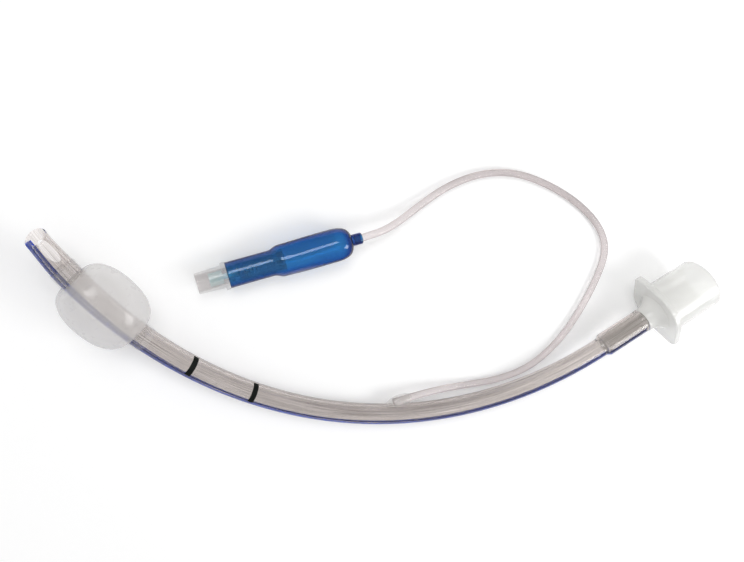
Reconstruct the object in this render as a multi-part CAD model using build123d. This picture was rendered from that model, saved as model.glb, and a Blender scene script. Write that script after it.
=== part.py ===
from build123d import *
from math import cos, pi, radians, sin, tan
import os

# Cuffed endotracheal tube, lying at rest on a flat surface
# Millimetres, +Z up, origin at the bottom centre of the tube without its inflation line

# Shaft: one extruded tube bent to a single bow
SHAFT_OD = 5.5
SHAFT_ID = 4.0
BOW_RADIUS = 104.56
TIP_ANGLE = -149.36
STUB_ANGLE = -59.21
STRAIGHT_LENGTH = 14.7
BEVEL_ANGLE = 44.0
BEVEL_ROLL = 102.0

# Eye: side hole close to the tip, opposite the bevel
EYE_LENGTH = 5.9
EYE_WIDTH = 2.7
EYE_SETBACK = 2.65
EYE_ROLL = 276.0

# Stripe: coloured line set in the outer wall along the outside of the bow
STRIPE_WIDTH = 1.9
STRIPE_DEPTH = 0.4
STRIPE_ROLL = -16.0

# Inflation channel: fine bore in the inside wall, from the notch to a port under the cuff
CHANNEL_DIA = 0.45
NOTCH_ANGLE = -95.9
NOTCH_LENGTH = 2.6
NOTCH_WIDTH = 0.95
PORT_DIA = 0.6

# Depth marks: two ink bands that wrap part of the shaft
MARK_ANGLES = (-126.5, -117.4)
MARK_WIDTH = 1.35
MARK_THICKNESS = 0.08
MARK_FROM_ROLL = 20.0
MARK_SPAN = 125.0

# Cuff: blown film sleeve on two collars, a little fuller towards the inside of the bow
CUFF_ANGLE = -139.36
CUFF_RADIUS = 7.88
CUFF_HALF_LENGTH = 8.65
CUFF_WALL = 0.2
CUFF_OFFSET = 0.28
CUFF_SHOULDER = 0.8
CUFF_TIP_FULLNESS = 0.58
CUFF_FAR_FULLNESS = 0.61
COLLAR_WALL = 0.3
COLLAR_LENGTH = 3.6

# Connector: one moulding with a 15 mm cone, a winged flange and a stub
CONE_MEAN_DIA = 15.15
CONE_TAPER = 0.025
CONE_LENGTH = 15.2
CONE_BORE_DIA = 12.6
FLANGE_THICKNESS = 1.8
FLANGE_RADIUS = 8.7
WING_REACH = 11.5
WING_TIP_RADIUS = 2.1
WING_ROLL = -21.3
EDGE_ROUND = 0.35
RIM_CHAMFER = 0.5
NECK_STEP = 0.1
NECK_BELLY = 0.32
NECK_BELLY_PLACE = 0.62
FUNNEL_SETBACK = 0.6
FUNNEL_LIP = 0.3
NECK_LENGTH = 4.55
NECK_ROOT_RADIUS = 5.7
STUB_OD = 5.3
STUB_BORE = 3.7
STUB_LENGTH = 13.9
STUB_LEAD = 0.5
STUB_LEAD_ANGLE = 25.0

# Shaft wall where it is stretched over the stub
STRETCH_WALL = 0.8
STRETCH_RAMP = 1.3

# Rest pose: the cuff, the flange and the outside of the bow touch the surface
# The foot is the point of the centreline on the outside of the bow, straight across from its centre
FOOT_ANGLE = -90.0
BOW_FOOT = (2.29, -25.5, 2.88)
REST_TILT = 10.43
REST_ROLL = -1.1

# Pilot valve housing: clear moulding with a tapered socket, a flange and a barrel
SOCKET_MOUTH_DIA = 4.27
SOCKET_TAPER = 0.06
SOCKET_DEPTH = 8.9
SOCKET_MOUTH_OD = 5.1
SOCKET_ROOT_OD = 5.65
VALVE_FLANGE_DIA = 6.8
VALVE_FLANGE_START = 6.2
VALVE_FLANGE_WIDTH = 1.1
WEB_THICKNESS = 0.9
WEB_HOLE_DIA = 1.9
BARREL_BORE = 4.5
BARREL_WALL = 0.6
BARREL_LENGTH = 13.75

# Plunger with its seal, spring and the plug that the spring pushes on
STEM_DIA = 1.3
HEAD_DIA = 3.2
HEAD_LENGTH = 3.2
HEAD_GAP = 1.1
HEAD_SLOT = 0.8
PLUNGER_TRAVEL = 1.6
SEAL_DIA = 3.7
SEAL_THICKNESS = 1.3
SEAL_NOSE = 0.5
SEAL_NOSE_LENGTH = 0.35
GUIDE_DIA = 1.15
GUIDE_LENGTH = 2.6
SPRING_OD = 2.2
SPRING_WIRE = 0.26
SPRING_TURNS = 9.5
SPRING_LENGTH = 8.5
PLUG_HOLE = 1.0
FACE_CLEAR = 0.02
BORE_OVERRUN = 1.0

# Pilot balloon: blue film with a sleeve on the barrel, a bulb and a tail sleeve
SLEEVE_WALL = 0.3
SLEEVE_LENGTH = 10.5
BULB_RADIUS = 4.15
BULB_FRONT_RADIUS = 3.95
BULB_END = 38.2
SHOULDER_LENGTH = 2.5
DOME_LENGTH = 4.05
DOME_FULLNESS = 0.6
TAIL_WALL = 0.5
TAIL_LENGTH = 2.7

# Where the pilot valve and balloon lie: mouth of the socket, heading and rise
PILOT_PLACE = (-57.29, 13.69, 3.18)
PILOT_HEADING = 13.5
PILOT_RISE = 2.25

# Inflation line: three points seen from the notch as height over the wall, sideways and along,
# then its route over the surface with the clear height under it, then two stations on the pilot axis
LINE_OD = 1.9
BEAD_LENGTH = 7.0
BEAD_RADIUS = 1.5
BEAD_TIP_RADIUS = 0.4
BEAD_SKIN = 0.08
BEAD_CREST = 0.45
BEAD_SETBACK = 2.1
LINE_START = [(0.97, 0.19, -0.08), (2.26, -0.08, 4.77), (3.6, -1.25, 12.39)]
LINE_ROUTE = [
    (14.44, -19.9, 0.28),
    (24.99, -19.63, 0.02),
    (35.8, -16.95, 0.02),
    (45.15, -9.91, 0.02),
    (52.05, -0.99, 0.02),
    (57.57, 9.2, 0.02),
    (59.83, 17.06, 0.02),
    (56.53, 24, 0.02),
    (49.02, 30.43, 0.02),
    (38.91, 35.72, 0.02),
    (27.69, 39.26, 0.02),
    (17.01, 38.98, 0.02),
    (7.09, 35.57, 0.02),
    (-1.66, 30, 0.53),
    (-8.8, 25.68, 2.33),
]
LINE_ENTRY = (44.0, 39.2)

# Sizes that follow from the ones above
SHAFT_R = SHAFT_OD / 2
LUMEN_R = SHAFT_ID / 2
STUB_R = STUB_OD / 2
STRETCH_R = STUB_R + STRETCH_WALL
CHANNEL_OFFSET = (SHAFT_R + LUMEN_R) / 2
FLANGE_NEAR = STRAIGHT_LENGTH + NECK_LENGTH
FLANGE_FAR = FLANGE_NEAR + FLANGE_THICKNESS
CONE_END = FLANGE_FAR + CONE_LENGTH
REACH = 4 * SHAFT_OD
CHAMBER_START = SOCKET_DEPTH + WEB_THICKNESS
SEAL_START = CHAMBER_START + FACE_CLEAR
SPRING_START = SEAL_START + SEAL_THICKNESS
PLUG_START = SPRING_START + SPRING_LENGTH
BARREL_R = BARREL_BORE / 2 + BARREL_WALL
BARREL_START = VALVE_FLANGE_START + VALVE_FLANGE_WIDTH
BARREL_END = BARREL_START + BARREL_LENGTH
HEAD_START = SOCKET_DEPTH - HEAD_GAP - PLUNGER_TRAVEL - HEAD_LENGTH
TAIL_R = LINE_OD / 2 + TAIL_WALL


def bow_plane(angle):
    """Section plane of the bow: local x points into the bow, y up, z towards the connector."""
    turn = radians(angle)
    origin = (BOW_RADIUS * cos(turn), BOW_RADIUS * sin(turn), 0)
    return Plane(origin=origin, x_dir=(-cos(turn), -sin(turn), 0), z_dir=(-sin(turn), cos(turn), 0))


def roll_plane(angle, roll):
    """Plane on the centreline whose z points out of the shaft at a roll from the outside of the bow."""
    section = bow_plane(angle)
    turn = radians(180 - roll)
    outward = section.x_dir * cos(turn) + section.y_dir * sin(turn)
    return Plane(origin=section.origin, x_dir=section.z_dir, z_dir=outward)


def bow_sweep(section, start, end):
    """Sweep a section drawn in the local frame of the bow from one bow angle to another."""
    placed = bow_plane(start) * section
    return revolve(placed, axis=Axis.Z, revolution_arc=end - start)


def turned(points, plane):
    """Turn a closed outline of (distance, radius) points about the z axis of a plane."""
    outline = Polyline(*[(radius, 0, along) for along, radius in points], close=True)
    solid = revolve(make_face(outline), axis=Axis.Z, revolution_arc=360)
    return plane * solid


def arc_length_to_angle(length):
    """Bow angle covered by a length of centreline."""
    return length / BOW_RADIUS * 180 / pi


def shaft_form(radius, stretched_radius):
    """Solid rod with the outer form of the shaft, before the bevel."""
    lead = arc_length_to_angle(SHAFT_OD)
    bow = bow_sweep(Circle(radius), TIP_ANGLE - lead, STUB_ANGLE)
    outline = [
        (0, 0),
        (0, radius),
        (STRETCH_RAMP, stretched_radius),
        (STRAIGHT_LENGTH, stretched_radius),
        (STRAIGHT_LENGTH, 0),
    ]
    return bow + turned(outline, bow_plane(STUB_ANGLE))


def lumen_form():
    """Bore of the shaft, past both ends."""
    lead = arc_length_to_angle(REACH)
    bow = bow_sweep(Circle(LUMEN_R), TIP_ANGLE - lead, STUB_ANGLE)
    length = STRAIGHT_LENGTH + BORE_OVERRUN
    end = bow_plane(STUB_ANGLE) * Pos(0, 0, length / 2) * Cylinder(LUMEN_R, length)
    return bow + end


def bevel_cutter():
    """Half space that cuts the slanted tip."""
    section = bow_plane(TIP_ANGLE)
    turn = radians(180 - BEVEL_ROLL)
    opening = section.x_dir * cos(turn) + section.y_dir * sin(turn)
    slant = radians(BEVEL_ANGLE)
    normal = opening * cos(slant) - section.z_dir * sin(slant)
    face = Plane(origin=section.origin, x_dir=section.z_dir.cross(opening), z_dir=normal)
    return face * Pos(0, 0, REACH / 2) * Box(REACH, REACH, REACH)


def eye_cutter():
    """Rounded hole through one wall near the tip."""
    angle = TIP_ANGLE + arc_length_to_angle(EYE_SETBACK)
    hole = extrude(Ellipse(EYE_LENGTH / 2, EYE_WIDTH / 2), SHAFT_OD)
    return roll_plane(angle, EYE_ROLL) * hole


def stub_outer():
    """Outside of the stub: a plain barrel with a tapered lead."""
    start = STRAIGHT_LENGTH - STUB_LENGTH
    lead_radius = STUB_R - STUB_LEAD * tan(radians(STUB_LEAD_ANGLE))
    outline = [
        (start, 0),
        (start, lead_radius),
        (start + STUB_LEAD, STUB_R),
        (STRAIGHT_LENGTH, STUB_R),
        (STRAIGHT_LENGTH, 0),
    ]
    return turned(outline, bow_plane(STUB_ANGLE))


def channel_cutter():
    """Inflation channel with its port under the cuff."""
    end = NOTCH_ANGLE + arc_length_to_angle(NOTCH_LENGTH / 2)
    bore = bow_sweep(Pos(CHANNEL_OFFSET, 0) * Circle(CHANNEL_DIA / 2), CUFF_ANGLE, end)
    port = extrude(Circle(PORT_DIA / 2), SHAFT_OD)
    port = roll_plane(CUFF_ANGLE, 180) * Pos(0, 0, CHANNEL_OFFSET) * port
    return bore + port


def notch_cutter():
    """Skived notch that opens the channel where the line is bonded."""
    span = arc_length_to_angle(NOTCH_LENGTH)
    depth = SHAFT_R - CHANNEL_OFFSET
    slot = Pos(SHAFT_R, 0) * Rectangle(2 * depth, NOTCH_WIDTH)
    return bow_sweep(slot, NOTCH_ANGLE, NOTCH_ANGLE + span)


def stripe_zone():
    """Wedge beside the shaft that holds the stripe, along the bow and the straight end."""
    reach = STRETCH_R + 1
    block = Pos(-reach / 2, 0) * Rectangle(reach, STRIPE_WIDTH)
    section = Rot(0, 0, -STRIPE_ROLL) * block
    lead = arc_length_to_angle(SHAFT_OD)
    bow = bow_sweep(section, TIP_ANGLE - lead, STUB_ANGLE)
    straight = bow_plane(STUB_ANGLE) * extrude(section, STRAIGHT_LENGTH)
    return bow + straight


def make_shaft_and_stripe():
    """Shaft with its lumen, bevel, eye, channel and notch, and the stripe set in its wall."""
    outer = shaft_form(SHAFT_R, STRETCH_R)
    inner = shaft_form(SHAFT_R - STRIPE_DEPTH, STRETCH_R - STRIPE_DEPTH)
    ends = bevel_cutter() + eye_cutter()
    stripe = ((outer - inner) & stripe_zone()) - ends
    shaft = outer - lumen_form() - stub_outer() - ends - stripe
    shaft = shaft - channel_cutter() - notch_cutter()
    return shaft, stripe


def make_depth_marks():
    """Two ink bands as thin curved strips on the shaft."""
    marks = []
    turn = 180 - MARK_FROM_ROLL - MARK_SPAN
    ring = Circle(SHAFT_R + MARK_THICKNESS) - Circle(SHAFT_R)
    reach = Vector(2 * SHAFT_OD, 0, 0)
    corners = [reach.rotate(Axis.Z, turn + MARK_SPAN * share) for share in (0, 0.5, 1)]
    wedge = make_face(Polyline((0, 0), *corners, close=True))
    half = arc_length_to_angle(MARK_WIDTH) / 2
    for angle in MARK_ANGLES:
        marks.append(bow_sweep(ring & wedge, angle - half, angle + half))
    return Compound(children=marks)


def cuff_profile(inset):
    """Solid of the blown cuff, its outside moved inwards by an inset."""
    top = CUFF_RADIUS - inset
    end = CUFF_HALF_LENGTH - inset
    low = LUMEN_R
    shoulder = CUFF_SHOULDER * top
    front = Bezier((low, 0, -end), (shoulder, 0, -end), (top, 0, -CUFF_TIP_FULLNESS * end), (top, 0, 0))
    back = Bezier((top, 0, 0), (top, 0, CUFF_FAR_FULLNESS * end), (shoulder, 0, end), (low, 0, end))
    inside = Polyline((low, 0, end), (0, 0, end), (0, 0, -end), (low, 0, -end))
    return revolve(make_face([front, back, inside]), axis=Axis.Z, revolution_arc=360)


def make_cuff():
    """Thin cuff shell fused with a collar at each end, bored to the shaft."""
    film = bow_plane(CUFF_ANGLE) * Pos(CUFF_OFFSET, 0) * (cuff_profile(0) - cuff_profile(CUFF_WALL))
    ring = Circle(SHAFT_R + COLLAR_WALL)
    half = arc_length_to_angle(CUFF_HALF_LENGTH - COLLAR_WALL)
    lap = arc_length_to_angle(COLLAR_LENGTH)
    tip_collar = bow_sweep(ring, CUFF_ANGLE - half - lap, CUFF_ANGLE - half)
    far_collar = bow_sweep(ring, CUFF_ANGLE + half, CUFF_ANGLE + half + lap)
    bore = bow_sweep(Circle(SHAFT_R), CUFF_ANGLE - 3 * half, CUFF_ANGLE + 3 * half)
    return film + tip_collar + far_collar - bore


def cone_radius(distance):
    """Outside radius of the 15 mm cone at a distance from the flange."""
    return CONE_MEAN_DIA / 2 + (CONE_LENGTH / 2 - distance) * CONE_TAPER / 2


def make_connector():
    """Connector: cone, winged flange, flared neck and stub, bored right through."""
    wing = WING_REACH - WING_TIP_RADIUS
    tips = [Pos(side * wing, 0) * Circle(WING_TIP_RADIUS) for side in (-1, 1)]
    outline = make_hull((Circle(FLANGE_RADIUS) + tips).edges())
    flange = Pos(0, 0, FLANGE_NEAR) * extrude(Rot(0, 0, WING_ROLL) * outline, FLANGE_THICKNESS)
    flange = fillet(flange.edges(), EDGE_ROUND)
    neck_top = STRETCH_R + NECK_STEP
    belly = neck_top + (NECK_ROOT_RADIUS - neck_top) * NECK_BELLY
    bell = ThreePointArc(
        (neck_top, 0, STRAIGHT_LENGTH),
        (belly, 0, STRAIGHT_LENGTH + NECK_LENGTH * NECK_BELLY_PLACE),
        (NECK_ROOT_RADIUS, 0, FLANGE_NEAR),
    )
    close = Polyline(
        (NECK_ROOT_RADIUS, 0, FLANGE_NEAR),
        (NECK_ROOT_RADIUS, 0, FLANGE_FAR),
        (0, 0, FLANGE_FAR),
        (0, 0, STRAIGHT_LENGTH),
        (neck_top, 0, STRAIGHT_LENGTH),
    )
    neck = revolve(make_face([bell, close]), axis=Axis.Z, revolution_arc=360)
    cone = turned(
        [
            (FLANGE_FAR - FLANGE_THICKNESS / 2, 0),
            (FLANGE_FAR - FLANGE_THICKNESS / 2, cone_radius(0)),
            (FLANGE_FAR, cone_radius(0)),
            (CONE_END - RIM_CHAMFER, cone_radius(CONE_LENGTH - RIM_CHAMFER)),
            (CONE_END, cone_radius(CONE_LENGTH) - RIM_CHAMFER / 2),
            (CONE_END, 0),
        ],
        Plane.XY,
    )
    bore = turned(
        [
            (-STUB_LENGTH, 0),
            (-STUB_LENGTH, STUB_BORE / 2),
            (STRAIGHT_LENGTH + FUNNEL_SETBACK, STUB_BORE / 2),
            (FLANGE_FAR - FUNNEL_LIP, CONE_BORE_DIA / 2),
            (CONE_END + BORE_OVERRUN, CONE_BORE_DIA / 2),
            (CONE_END + BORE_OVERRUN, 0),
        ],
        Plane.XY,
    )
    place = bow_plane(STUB_ANGLE)
    return place * (flange + neck + cone) + stub_outer() - place * bore


def make_valve_housing():
    """Clear housing: tapered socket, flange, web with a hole, and the barrel."""
    outside = turned(
        [
            (0, 0),
            (0, SOCKET_MOUTH_OD / 2),
            (VALVE_FLANGE_START, SOCKET_ROOT_OD / 2),
            (VALVE_FLANGE_START, VALVE_FLANGE_DIA / 2),
            (BARREL_START, VALVE_FLANGE_DIA / 2),
            (BARREL_START, BARREL_R),
            (BARREL_END, BARREL_R),
            (BARREL_END, 0),
        ],
        Plane.XY,
    )
    mouth = SOCKET_MOUTH_DIA / 2
    root = mouth - SOCKET_DEPTH * SOCKET_TAPER / 2
    socket = turned(
        [(-BORE_OVERRUN, 0), (-BORE_OVERRUN, mouth), (0, mouth), (SOCKET_DEPTH, root), (SOCKET_DEPTH, 0)],
        Plane.XY,
    )
    hole = Pos(0, 0, SOCKET_DEPTH) * Cylinder(WEB_HOLE_DIA / 2, 4 * WEB_THICKNESS)
    chamber_length = BARREL_END - CHAMBER_START + BORE_OVERRUN
    bore = Pos(0, 0, CHAMBER_START + chamber_length / 2) * Cylinder(BARREL_BORE / 2, chamber_length)
    return outside - socket - hole - bore


def make_plunger():
    """Plunger: slotted head in the socket, stem through the web, and a guide pin for the spring."""
    head_middle = HEAD_START + HEAD_LENGTH / 2
    head = Pos(0, 0, head_middle) * Cylinder(HEAD_DIA / 2, HEAD_LENGTH)
    slot = Pos((HEAD_DIA + STEM_DIA) / 2, 0, head_middle) * Box(HEAD_DIA, HEAD_SLOT, 2 * HEAD_LENGTH)
    for turn in (0, 90, 180, 270):
        head = head - Rot(0, 0, turn) * slot
    stem = Pos(0, 0, (HEAD_START + SPRING_START) / 2) * Cylinder(STEM_DIA / 2, SPRING_START - HEAD_START)
    guide = Pos(0, 0, SPRING_START + GUIDE_LENGTH / 2) * Cylinder(GUIDE_DIA / 2, GUIDE_LENGTH)
    return head + stem + guide


def make_seal():
    """Elastomer disc that the spring holds against the web."""
    outline = [
        (SEAL_START, STEM_DIA / 2),
        (SEAL_START, SEAL_DIA / 2 - SEAL_NOSE),
        (SEAL_START + SEAL_NOSE_LENGTH, SEAL_DIA / 2),
        (SPRING_START, SEAL_DIA / 2),
        (SPRING_START, STEM_DIA / 2),
    ]
    return turned(outline, Plane.XY)


def make_spring():
    """Coil spring between the seal and the plug."""
    coil_r = (SPRING_OD - SPRING_WIRE) / 2
    height = SPRING_LENGTH - SPRING_WIRE - 2 * FACE_CLEAR
    path = Helix(height / SPRING_TURNS, height, coil_r)
    wire = Plane(origin=path @ 0, z_dir=path % 0) * Circle(SPRING_WIRE / 2)
    coil = sweep(wire, path=path, is_frenet=True)
    return Pos(0, 0, SPRING_START + FACE_CLEAR + SPRING_WIRE / 2) * coil


def make_plug():
    """Ring plug pressed in the end of the barrel."""
    outline = [
        (PLUG_START, PLUG_HOLE / 2),
        (PLUG_START, BARREL_BORE / 2),
        (BARREL_END, BARREL_BORE / 2),
        (BARREL_END, PLUG_HOLE / 2),
    ]
    return turned(outline, Plane.XY)


def bulb(inset):
    """Solid of the balloon's bulb, its outside moved inwards by an inset."""
    waist = BARREL_R + SLEEVE_WALL - inset
    front = BULB_FRONT_RADIUS - inset
    full = BULB_RADIUS - inset
    neck = TAIL_R - inset
    start = BARREL_START + SLEEVE_LENGTH
    shoulder = start + SHOULDER_LENGTH
    end = BULB_END - inset
    dome = end - DOME_LENGTH
    crown = neck + (full - neck) * DOME_FULLNESS
    rise = Spline((waist, 0, start), (front, 0, shoulder), tangents=[(0, 0, 1), (0, 0, 1)])
    wall = Line((front, 0, shoulder), (full, 0, dome))
    bend = dome + DOME_LENGTH * DOME_FULLNESS
    cap = Bezier((full, 0, dome), (full, 0, bend), (crown, 0, end), (neck, 0, end))
    lines = Polyline((neck, 0, end), (0, 0, end), (0, 0, start), (waist, 0, start))
    return revolve(make_face([rise, wall, cap, lines]), axis=Axis.Z, revolution_arc=360)


def make_balloon():
    """Blue balloon: sleeve on the barrel, bulb, and tail sleeve on the line."""
    sleeve = Pos(0, 0, BARREL_START + SLEEVE_LENGTH / 2)
    outside = bulb(0) + sleeve * Cylinder(BARREL_R + SLEEVE_WALL, SLEEVE_LENGTH)
    outside = outside + Pos(0, 0, BULB_END) * Cylinder(TAIL_R, 2 * TAIL_LENGTH)
    barrel = sleeve * Cylinder(BARREL_R, SLEEVE_LENGTH + FACE_CLEAR)
    line = Pos(0, 0, BULB_END) * Cylinder(LINE_OD / 2, 4 * TAIL_LENGTH)
    return outside - bulb(SLEEVE_WALL) - barrel - line


def pilot_plane():
    """Plane at the mouth of the socket whose z is the pilot axis, as the pilot valve lies."""
    axis = Vector(1, 0, 0).rotate(Axis.Y, -PILOT_RISE).rotate(Axis.Z, PILOT_HEADING)
    return Plane(origin=PILOT_PLACE, x_dir=Vector(0, 0, 1).cross(axis), z_dir=axis)


def tube_location():
    """Location that lays the bow down with its foot on its place."""
    rest = Rot(REST_TILT, REST_ROLL, 0)
    foot = rest * bow_plane(FOOT_ANGLE).location
    return Location(Vector(*BOW_FOOT) - foot.position) * rest


def line_points():
    """Corners of the line: from the notch, over the surface, then on the pilot axis."""
    notch = Plane(tube_location() * bow_plane(NOTCH_ANGLE).location)
    start = [notch.from_local_coords(Vector(SHAFT_R + over, side, along)) for over, side, along in LINE_START]
    route = [Vector(x, y, LINE_OD / 2 + lift) for x, y, lift in LINE_ROUTE]
    entry = [pilot_plane().from_local_coords(Vector(0, 0, station)) for station in LINE_ENTRY]
    return start + route + entry


def line_radii(points):
    """Bend radii of the line: 0.45 of the shorter run over the tangent of half the turn."""
    radii = []
    for before, at, after in zip(points, points[1:], points[2:]):
        turn = radians((at - before).get_angle(after - at))
        run = min((at - before).length, (after - at).length)
        radii.append(0.45 * run / tan(turn / 2))
    return radii


def make_line():
    """Inflation line: straight runs joined by tangent arcs."""
    points = line_points()
    radii = line_radii(points)
    path = FilletPolyline(*points, radius=radii)
    section = Plane(origin=path @ 0, z_dir=path % 0) * Circle(LINE_OD / 2)
    line = sweep(section, path=path)
    print("line radii", [round(radius, 1) for radius in radii])
    rod = path.length * pi * LINE_OD**2 / 4
    print("line length", round(path.length, 2), "volume ratio", round(line.volume / rod, 5))
    return line


def make_bead():
    """Bead of cement round the start of the line, seated on the shaft."""
    start, after = line_points()[:2]
    along = after - start
    place = Plane(origin=start - along.normalized() * BEAD_SETBACK, z_dir=along)
    tip = (BEAD_TIP_RADIUS, 0, 0)
    end = (LINE_OD / 2 + BEAD_SKIN, 0, BEAD_LENGTH)
    side = ThreePointArc(tip, (BEAD_RADIUS, 0, BEAD_LENGTH * BEAD_CREST), end)
    close = Polyline(end, (0, 0, BEAD_LENGTH), (0, 0, 0), tip)
    spindle = place * revolve(make_face([side, close]), axis=Axis.Z, revolution_arc=360)
    return spindle - tube_location() * shaft_form(SHAFT_R, STRETCH_R)


def write(name, shape):
    """Write one node."""
    export_step(shape, os.path.join("parts", name + ".step"))


def main():
    os.makedirs("parts", exist_ok=True)
    tube_place = tube_location()
    pilot_place = pilot_plane().location
    shaft, stripe = make_shaft_and_stripe()
    line = make_line()
    tube_nodes = {
        "shaft": shaft,
        "radiopaque_stripe": stripe,
        "depth_marks": make_depth_marks(),
        "cuff": make_cuff(),
        "connector": make_connector(),
    }
    pilot_nodes = {
        "valve_housing": make_valve_housing(),
        "valve_plunger": make_plunger(),
        "plunger_seal": make_seal(),
        "valve_spring": make_spring(),
        "spring_plug": make_plug(),
        "pilot_balloon": make_balloon(),
    }
    for name, shape in tube_nodes.items():
        write(name, tube_place * shape)
    for name, shape in pilot_nodes.items():
        write(name, pilot_place * shape)
    write("line_bead", make_bead() - line)
    write("inflation_line", line)


main()
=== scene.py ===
import logging
import math
from dataclasses import dataclass, field
from enum import Enum
from typing import Callable, Optional, Sequence

import bmesh
import bpy
from mathutils import Matrix, Vector, noise


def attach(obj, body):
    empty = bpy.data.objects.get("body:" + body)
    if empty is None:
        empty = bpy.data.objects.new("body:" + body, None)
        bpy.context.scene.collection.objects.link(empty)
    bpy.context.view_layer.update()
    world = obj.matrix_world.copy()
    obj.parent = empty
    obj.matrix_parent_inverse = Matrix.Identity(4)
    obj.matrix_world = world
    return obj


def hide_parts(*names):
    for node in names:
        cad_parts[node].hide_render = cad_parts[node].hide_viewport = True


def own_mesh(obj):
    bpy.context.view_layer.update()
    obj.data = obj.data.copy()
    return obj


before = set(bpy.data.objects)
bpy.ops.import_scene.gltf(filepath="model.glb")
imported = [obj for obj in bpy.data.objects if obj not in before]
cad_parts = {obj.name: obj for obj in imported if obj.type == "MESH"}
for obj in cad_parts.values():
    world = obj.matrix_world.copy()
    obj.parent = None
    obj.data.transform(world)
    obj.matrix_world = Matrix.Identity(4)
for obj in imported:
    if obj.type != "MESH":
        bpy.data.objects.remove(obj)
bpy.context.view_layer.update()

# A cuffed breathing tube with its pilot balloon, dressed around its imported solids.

log = logging.getLogger("tube")
MM = 0.001
TAU = 2 * math.pi
HALVINGS = 40

# Texture layout and values that all finishes share
SIDE_SCALE = 10.0
DRAWN_STRETCH = 0.012
BUMP_DEPTH = 0.0002
COAT_ROUGHNESS = 0.06
SUBSURFACE_REACH = (0.0025, 0.0022, 0.002)

Colour = tuple[float, float, float]
Point = tuple[float, float, float]
Outline = list[tuple[float, float]]
Ring = list[Vector]
Made = dict[str, bpy.types.Material]


class Body(Enum):
    """Bodies that pieces ride on. The plunger's pieces keep their CAD shape and ride already."""

    TUBE = "tube"


class Pattern(Enum):
    """Ways in which a finish varies over a surface."""

    DRAWN = "drawn along the length"
    MOULDED = "cloudy in every direction"


# Small helpers for numbers


def mix(low: float, high: float, share: float) -> float:
    """Value at a share of the way from low to high."""
    return low + (high - low) * share


def smooth(share: float) -> float:
    """Smooth step of a share that is first held between 0 and 1."""
    held = min(1.0, max(0.0, share))
    return held * held * (3 - 2 * held)


def roll_dir(roll: float) -> tuple[float, float]:
    """Section direction of a roll in degrees, counted from the outside of the bow over the top."""
    return -math.cos(math.radians(roll)), math.sin(math.radians(roll))


@dataclass(frozen=True)
class Bow:
    """Centreline of the shaft: one arc in a tilted plane, then a straight run over the stub.

    Stations are distances in mm along the centreline, 0 where the arc ends and the stub begins.
    """

    radius: float = 104.56
    tip_angle: float = -149.36
    stub_angle: float = -59.21
    centre: Point = (2.29, 77.332, 21.809)
    tilt: float = 10.43
    roll: float = -1.1

    def turn(self) -> Matrix:
        """Rotation from the bow's own axes to the row frame."""
        about_x = Matrix.Rotation(math.radians(self.tilt), 3, "X")
        return about_x @ Matrix.Rotation(math.radians(self.roll), 3, "Y")

    def station(self, angle: float) -> float:
        """Station of a bow angle in degrees."""
        return math.radians(angle - self.stub_angle) * self.radius

    def axes(self, station: float) -> tuple[Vector, Vector, Vector, Vector]:
        """Section at a station.

        Args:
            station: distance along the centreline in mm.

        Returns:
            Centre, direction into the bow, direction up and direction of the connector, in mm.
        """
        angle = math.radians(self.stub_angle) + min(station, 0.0) / self.radius
        outward = Vector((math.cos(angle), math.sin(angle), 0))
        along = Vector((-math.sin(angle), math.cos(angle), 0))
        centre = outward * self.radius + along * max(station, 0.0)
        turn = self.turn()
        up = turn @ Vector((0, 0, 1))
        return Vector(self.centre) + turn @ centre, turn @ -outward, up, turn @ along

    def point(self, station: float, roll: float, radius: float) -> Vector:
        """Point in metres at a station, a roll in degrees and a radius in mm."""
        centre, inward, up, _ = self.axes(station)
        across, high = roll_dir(roll)
        return (centre + (inward * across + up * high) * radius) * MM


@dataclass(frozen=True)
class Axis:
    """Straight axis of a turned piece, in mm."""

    origin: Point
    along: Point

    def point(self, station: float, roll: float, radius: float) -> Vector:
        """Point in metres at a station, a roll in degrees and a radius in mm."""
        along = Vector(self.along).normalized()
        side = Vector((0, 0, 1)).cross(along).normalized()
        up = along.cross(side)
        turn = math.radians(roll)
        offset = side * (math.cos(turn) * radius) + up * (math.sin(turn) * radius)
        return (Vector(self.origin) + along * station + offset) * MM


BOW = Bow()
PILOT = Axis(origin=(-57.29, 13.69, 3.18), along=(0.97162026, 0.23326539, 0.03925982))


# Meshes


def ring_mesh(
    name: str,
    rings: Sequence[Ring],
    sides: Sequence[float],
    lengths: Sequence[float],
    loop: bool = False,
    sharp: float = 40.0,
) -> bpy.types.Object:
    """Skin a row of closed rings.

    Args:
        name: name of the piece.
        rings: rings of points, all with the same count.
        sides: texture place of each point round the ring.
        lengths: texture place of each ring along the piece.
        loop: whether the last ring joins the first.
        sharp: angle in degrees above which an edge stays sharp.

    Returns:
        The new object, linked to the scene.
    """
    count = len(rings[0])
    points = [point for ring in rings for point in ring]
    faces, places = [], []
    rows = len(rings) if loop else len(rings) - 1
    for row in range(rows):
        after = (row + 1) % len(rings)
        for step in range(count):
            ahead = (step + 1) % count
            near, far = row * count, after * count
            faces.append((near + step, near + ahead, far + ahead, far + step))
            for place, line in ((step, row), (step + 1, row), (step + 1, after), (step, after)):
                places.append((sides[place], lengths[line]))
    mesh = bpy.data.meshes.new(name)
    mesh.from_pydata([tuple(point) for point in points], [], faces)
    layer = mesh.uv_layers.new(name="flow")
    for slot, place in enumerate(places):
        layer.data[slot].uv = place
    mesh.update()
    return finish_object(name, mesh, sharp)


def finish_object(name: str, mesh: bpy.types.Mesh, sharp: float) -> bpy.types.Object:
    """Link a mesh with smooth faces and sharp edges above an angle in degrees."""
    mesh.shade_smooth()
    mesh.set_sharp_from_angle(angle=math.radians(sharp))
    thing = bpy.data.objects.new(name, mesh)
    bpy.context.scene.collection.objects.link(thing)
    return thing


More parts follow.
